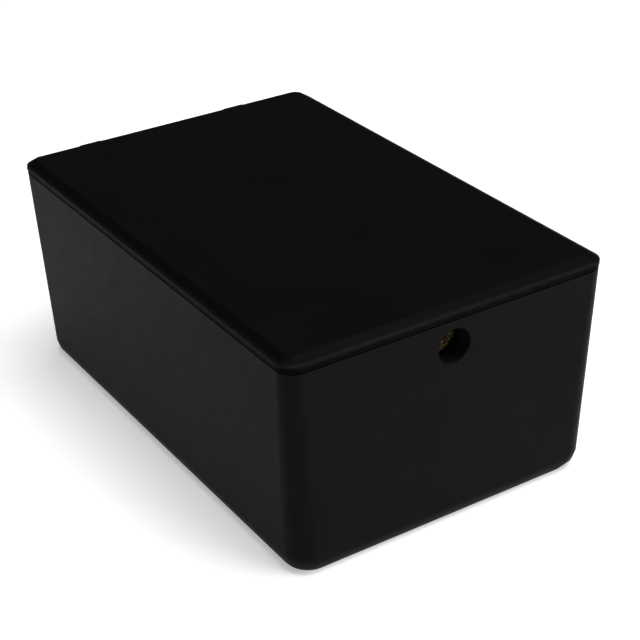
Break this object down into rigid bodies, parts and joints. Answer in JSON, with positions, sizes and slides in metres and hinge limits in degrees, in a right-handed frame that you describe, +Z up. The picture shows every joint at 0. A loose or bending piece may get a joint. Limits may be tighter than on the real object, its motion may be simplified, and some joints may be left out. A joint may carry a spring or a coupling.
{
  "type": "rodent bait station",
  "caption": "Lockable black plastic rodent bait station: rectangular tub with a hinged flat lid, a recessed cam lock, side doorways, a baffle and a lift-out bait tray.",
  "frame": {"origin": "centre of the tub's flat underside, on the surface it stands on", "axes": "+Z up; -Y is the lock end, +Y the hinge end; +X is the side with the two doorways"},
  "size_m": [0.1756, 0.2779, 0.1161],
  "materials": {
    "tub_plastic": "black polypropylene, satin with a fine stipple",
    "lid_plastic": "black polypropylene, smoother satin top with a stippled rim",
    "insert_plastic": "black polypropylene, plain moulded",
    "tray_plastic": "dark grey polypropylene, plain moulded",
    "zinc_steel": "bright zinc-plated steel",
    "spring_steel": "plain spring steel",
    "lock_brass": "turned brass, lightly tarnished",
    "wafer_brass": "stamped brass",
    "bait_wax": "blue-green wax bait, matt with grain"
  },
  "bodies": {
    "base": {"base_tub": "tub_plastic", "baffle_wall": "insert_plastic", "hinge_pin_left": "zinc_steel", "hinge_pin_right": "zinc_steel", "hinge_pin_retainers": "spring_steel", "lock_housing": "lock_brass", "lock_washer": "spring_steel", "lock_nut": "lock_brass"},
    "lid": {"lid": "lid_plastic", "keeper_hook": "zinc_steel", "keeper_screws": "zinc_steel"},
    "lock_rotor": {"lock_plug": "lock_brass", "lock_wafers": "wafer_brass", "lock_cam": "zinc_steel", "cam_washer": "spring_steel", "cam_screw": "zinc_steel"},
    "bait_tray": {"bait_tray": "tray_plastic", "bait_rod_left": "zinc_steel", "bait_rod_right": "zinc_steel", "bait_blocks_left": "bait_wax", "bait_blocks_right": "bait_wax", "rod_clips": "spring_steel"}
  },
  "joints": [
    {"name": "lid_hinge", "type": "hinge", "parent": "base", "child": "lid", "pos_m": [0, 0.1385, 0.1067], "axis": [-1, 0, 0], "range_deg": [0, 105]},
    {"name": "lock_turn", "type": "hinge", "parent": "base", "child": "lock_rotor", "pos_m": [0, -0.1223, 0.0961], "axis": [0, -1, 0], "range_deg": [0, 90]},
    {"name": "tray_lift", "type": "slide", "parent": "base", "child": "bait_tray", "axis": [0, 0, 1], "range_m": [0, 0.035]}
  ]
}
